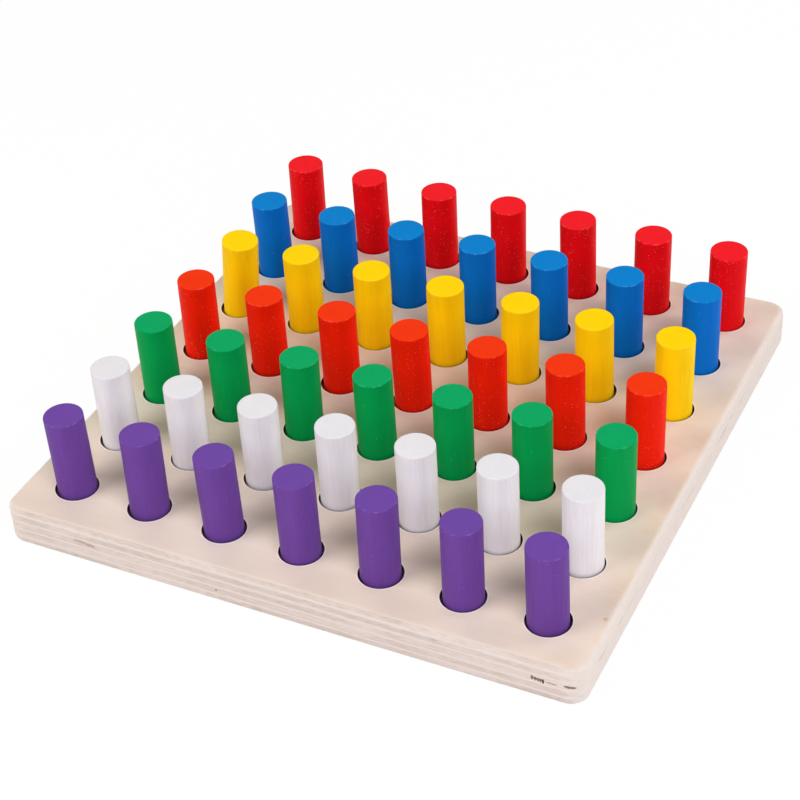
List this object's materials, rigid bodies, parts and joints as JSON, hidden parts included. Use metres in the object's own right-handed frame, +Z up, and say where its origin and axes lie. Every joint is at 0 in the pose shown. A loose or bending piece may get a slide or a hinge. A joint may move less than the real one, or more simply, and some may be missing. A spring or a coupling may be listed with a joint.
{
  "type": "peg board",
  "caption": "Square plywood peg board with a grid of blind holes, each holding a loose, painted, plain round wooden peg that lifts straight out; the pegs are sorted by colour in rows.",
  "frame": {"origin": "middle of the board's underside", "axes": "+Z up along the pegs, +X along the colour rows, +Y from the purple row to the red row"},
  "size_m": [0.255, 0.255, 0.0553],
  "materials": {
    "plywood": "sanded, bare",
    "purple_paint": "satin paint",
    "white_paint": "satin paint",
    "green_paint": "satin paint",
    "orange_paint": "satin paint",
    "yellow_paint": "satin paint",
    "blue_paint": "satin paint",
    "red_paint": "satin paint"
  },
  "bodies": {
    "board": {"base_board": "plywood"},
    "peg_purple_1": {"peg_purple_1": "purple_paint"},
    "peg_purple_2": {"peg_purple_2": "purple_paint"},
    "peg_purple_3": {"peg_purple_3": "purple_paint"},
    "peg_purple_4": {"peg_purple_4": "purple_paint"},
    "peg_purple_5": {"peg_purple_5": "purple_paint"},
    "peg_purple_6": {"peg_purple_6": "purple_paint"},
    "peg_purple_7": {"peg_purple_7": "purple_paint"},
    "peg_white_1": {"peg_white_1": "white_paint"},
    "peg_white_2": {"peg_white_2": "white_paint"},
    "peg_white_3": {"peg_white_3": "white_paint"},
    "peg_white_4": {"peg_white_4": "white_paint"},
    "peg_white_5": {"peg_white_5": "white_paint"},
    "peg_white_6": {"peg_white_6": "white_paint"},
    "peg_white_7": {"peg_white_7": "white_paint"},
    "peg_green_1": {"peg_green_1": "green_paint"},
    "peg_green_2": {"peg_green_2": "green_paint"},
    "peg_green_3": {"peg_green_3": "green_paint"},
    "peg_green_4": {"peg_green_4": "green_paint"},
    "peg_green_5": {"peg_green_5": "green_paint"},
    "peg_green_6": {"peg_green_6": "green_paint"},
    "peg_green_7": {"peg_green_7": "green_paint"},
    "peg_orange_1": {"peg_orange_1": "orange_paint"},
    "peg_orange_2": {"peg_orange_2": "orange_paint"},
    "peg_orange_3": {"peg_orange_3": "orange_paint"},
    "peg_orange_4": {"peg_orange_4": "orange_paint"},
    "peg_orange_5": {"peg_orange_5": "orange_paint"},
    "peg_orange_6": {"peg_orange_6": "orange_paint"},
    "peg_orange_7": {"peg_orange_7": "orange_paint"},
    "peg_yellow_1": {"peg_yellow_1": "yellow_paint"},
    "peg_yellow_2": {"peg_yellow_2": "yellow_paint"},
    "peg_yellow_3": {"peg_yellow_3": "yellow_paint"},
    "peg_yellow_4": {"peg_yellow_4": "yellow_paint"},
    "peg_yellow_5": {"peg_yellow_5": "yellow_paint"},
    "peg_yellow_6": {"peg_yellow_6": "yellow_paint"},
    "peg_yellow_7": {"peg_yellow_7": "yellow_paint"},
    "peg_blue_1": {"peg_blue_1": "blue_paint"},
    "peg_blue_2": {"peg_blue_2": "blue_paint"},
    "peg_blue_3": {"peg_blue_3": "blue_paint"},
    "peg_blue_4": {"peg_blue_4": "blue_paint"},
    "peg_blue_5": {"peg_blue_5": "blue_paint"},
    "peg_blue_6": {"peg_blue_6": "blue_paint"},
    "peg_blue_7": {"peg_blue_7": "blue_paint"},
    "peg_red_1": {"peg_red_1": "red_paint"},
    "peg_red_2": {"peg_red_2": "red_paint"},
    "peg_red_3": {"peg_red_3": "red_paint"},
    "peg_red_4": {"peg_red_4": "red_paint"},
    "peg_red_5": {"peg_red_5": "red_paint"},
    "peg_red_6": {"peg_red_6": "red_paint"},
    "peg_red_7": {"peg_red_7": "red_paint"}
  },
  "joints": [
    {"name": "lift_purple_1", "type": "slide", "parent": "board", "child": "peg_purple_1", "axis": [0, 0, 1], "range_m": [0, 0.055]},
    {"name": "lift_purple_2", "type": "slide", "parent": "board", "child": "peg_purple_2", "axis": [0, 0, 1], "range_m": [0, 0.055]},
    {"name": "lift_purple_3", "type": "slide", "parent": "board", "child": "peg_purple_3", "axis": [0, 0, 1], "range_m": [0, 0.055]},
    {"name": "lift_purple_4", "type": "slide", "parent": "board", "child": "peg_purple_4", "axis": [0, 0, 1], "range_m": [0, 0.055]},
    {"name": "lift_purple_5", "type": "slide", "parent": "board", "child": "peg_purple_5", "axis": [0, 0, 1], "range_m": [0, 0.055]},
    {"name": "lift_purple_6", "type": "slide", "parent": "board", "child": "peg_purple_6", "axis": [0, 0, 1], "range_m": [0, 0.055]},
    {"name": "lift_purple_7", "type": "slide", "parent": "board", "child": "peg_purple_7", "axis": [0, 0, 1], "range_m": [0, 0.055]},
    {"name": "lift_white_1", "type": "slide", "parent": "board", "child": "peg_white_1", "axis": [0, 0, 1], "range_m": [0, 0.055]},
    {"name": "lift_white_2", "type": "slide", "parent": "board", "child": "peg_white_2", "axis": [0, 0, 1], "range_m": [0, 0.055]},
    {"name": "lift_white_3", "type": "slide", "parent": "board", "child": "peg_white_3", "axis": [0, 0, 1], "range_m": [0, 0.055]},
    {"name": "lift_white_4", "type": "slide", "parent": "board", "child": "peg_white_4", "axis": [0, 0, 1], "range_m": [0, 0.055]},
    {"name": "lift_white_5", "type": "slide", "parent": "board", "child": "peg_white_5", "axis": [0, 0, 1], "range_m": [0, 0.055]},
    {"name": "lift_white_6", "type": "slide", "parent": "board", "child": "peg_white_6", "axis": [0, 0, 1], "range_m": [0, 0.055]},
    {"name": "lift_white_7", "type": "slide", "parent": "board", "child": "peg_white_7", "axis": [0, 0, 1], "range_m": [0, 0.055]},
    {"name": "lift_green_1", "type": "slide", "parent": "board", "child": "peg_green_1", "axis": [0, 0, 1], "range_m": [0, 0.055]},
    {"name": "lift_green_2", "type": "slide", "parent": "board", "child": "peg_green_2", "axis": [0, 0, 1], "range_m": [0, 0.055]},
    {"name": "lift_green_3", "type": "slide", "parent": "board", "child": "peg_green_3", "axis": [0, 0, 1], "range_m": [0, 0.055]},
    {"name": "lift_green_4", "type": "slide", "parent": "board", "child": "peg_green_4", "axis": [0, 0, 1], "range_m": [0, 0.055]},
    {"name": "lift_green_5", "type": "slide", "parent": "board", "child": "peg_green_5", "axis": [0, 0, 1], "range_m": [0, 0.055]},
    {"name": "lift_green_6", "type": "slide", "parent": "board", "child": "peg_green_6", "axis": [0, 0, 1], "range_m": [0, 0.055]},
    {"name": "lift_green_7", "type": "slide", "parent": "board", "child": "peg_green_7", "axis": [0, 0, 1], "range_m": [0, 0.055]},
    {"name": "lift_orange_1", "type": "slide", "parent": "board", "child": "peg_orange_1", "axis": [0, 0, 1], "range_m": [0, 0.055]},
    {"name": "lift_orange_2", "type": "slide", "parent": "board", "child": "peg_orange_2", "axis": [0, 0, 1], "range_m": [0, 0.055]},
    {"name": "lift_orange_3", "type": "slide", "parent": "board", "child": "peg_orange_3", "axis": [0, 0, 1], "range_m": [0, 0.055]},
    {"name": "lift_orange_4", "type": "slide", "parent": "board", "child": "peg_orange_4", "axis": [0, 0, 1], "range_m": [0, 0.055]},
    {"name": "lift_orange_5", "type": "slide", "parent": "board", "child": "peg_orange_5", "axis": [0, 0, 1], "range_m": [0, 0.055]},
    {"name": "lift_orange_6", "type": "slide", "parent": "board", "child": "peg_orange_6", "axis": [0, 0, 1], "range_m": [0, 0.055]},
    {"name": "lift_orange_7", "type": "slide", "parent": "board", "child": "peg_orange_7", "axis": [0, 0, 1], "range_m": [0, 0.055]},
    {"name": "lift_yellow_1", "type": "slide", "parent": "board", "child": "peg_yellow_1", "axis": [0, 0, 1], "range_m": [0, 0.055]},
    {"name": "lift_yellow_2", "type": "slide", "parent": "board", "child": "peg_yellow_2", "axis": [0, 0, 1], "range_m": [0, 0.055]},
    {"name": "lift_yellow_3", "type": "slide", "parent": "board", "child": "peg_yellow_3", "axis": [0, 0, 1], "range_m": [0, 0.055]},
    {"name": "lift_yellow_4", "type": "slide", "parent": "board", "child": "peg_yellow_4", "axis": [0, 0, 1], "range_m": [0, 0.055]},
    {"name": "lift_yellow_5", "type": "slide", "parent": "board", "child": "peg_yellow_5", "axis": [0, 0, 1], "range_m": [0, 0.055]},
    {"name": "lift_yellow_6", "type": "slide", "parent": "board", "child": "peg_yellow_6", "axis": [0, 0, 1], "range_m": [0, 0.055]},
    {"name": "lift_yellow_7", "type": "slide", "parent": "board", "child": "peg_yellow_7", "axis": [0, 0, 1], "range_m": [0, 0.055]},
    {"name": "lift_blue_1", "type": "slide", "parent": "board", "child": "peg_blue_1", "axis": [0, 0, 1], "range_m": [0, 0.055]},
    {"name": "lift_blue_2", "type": "slide", "parent": "board", "child": "peg_blue_2", "axis": [0, 0, 1], "range_m": [0, 0.055]},
    {"name": "lift_blue_3", "type": "slide", "parent": "board", "child": "peg_blue_3", "axis": [0, 0, 1], "range_m": [0, 0.055]},
    {"name": "lift_blue_4", "type": "slide", "parent": "board", "child": "peg_blue_4", "axis": [0, 0, 1], "range_m": [0, 0.055]},
    {"name": "lift_blue_5", "type": "slide", "parent": "board", "child": "peg_blue_5", "axis": [0, 0, 1], "range_m": [0, 0.055]},
    {"name": "lift_blue_6", "type": "slide", "parent": "board", "child": "peg_blue_6", "axis": [0, 0, 1], "range_m": [0, 0.055]},
    {"name": "lift_blue_7", "type": "slide", "parent": "board", "child": "peg_blue_7", "axis": [0, 0, 1], "range_m": [0, 0.055]},
    {"name": "lift_red_1", "type": "slide", "parent": "board", "child": "peg_red_1", "axis": [0, 0, 1], "range_m": [0, 0.055]},
    {"name": "lift_red_2", "type": "slide", "parent": "board", "child": "peg_red_2", "axis": [0, 0, 1], "range_m": [0, 0.055]},
    {"name": "lift_red_3", "type": "slide", "parent": "board", "child": "peg_red_3", "axis": [0, 0, 1], "range_m": [0, 0.055]},
    {"name": "lift_red_4", "type": "slide", "parent": "board", "child": "peg_red_4", "axis": [0, 0, 1], "range_m": [0, 0.055]},
    {"name": "lift_red_5", "type": "slide", "parent": "board", "child": "peg_red_5", "axis": [0, 0, 1], "range_m": [0, 0.055]},
    {"name": "lift_red_6", "type": "slide", "parent": "board", "child": "peg_red_6", "axis": [0, 0, 1], "range_m": [0, 0.055]},
    {"name": "lift_red_7", "type": "slide", "parent": "board", "child": "peg_red_7", "axis": [0, 0, 1], "range_m": [0, 0.055]}
  ]
}
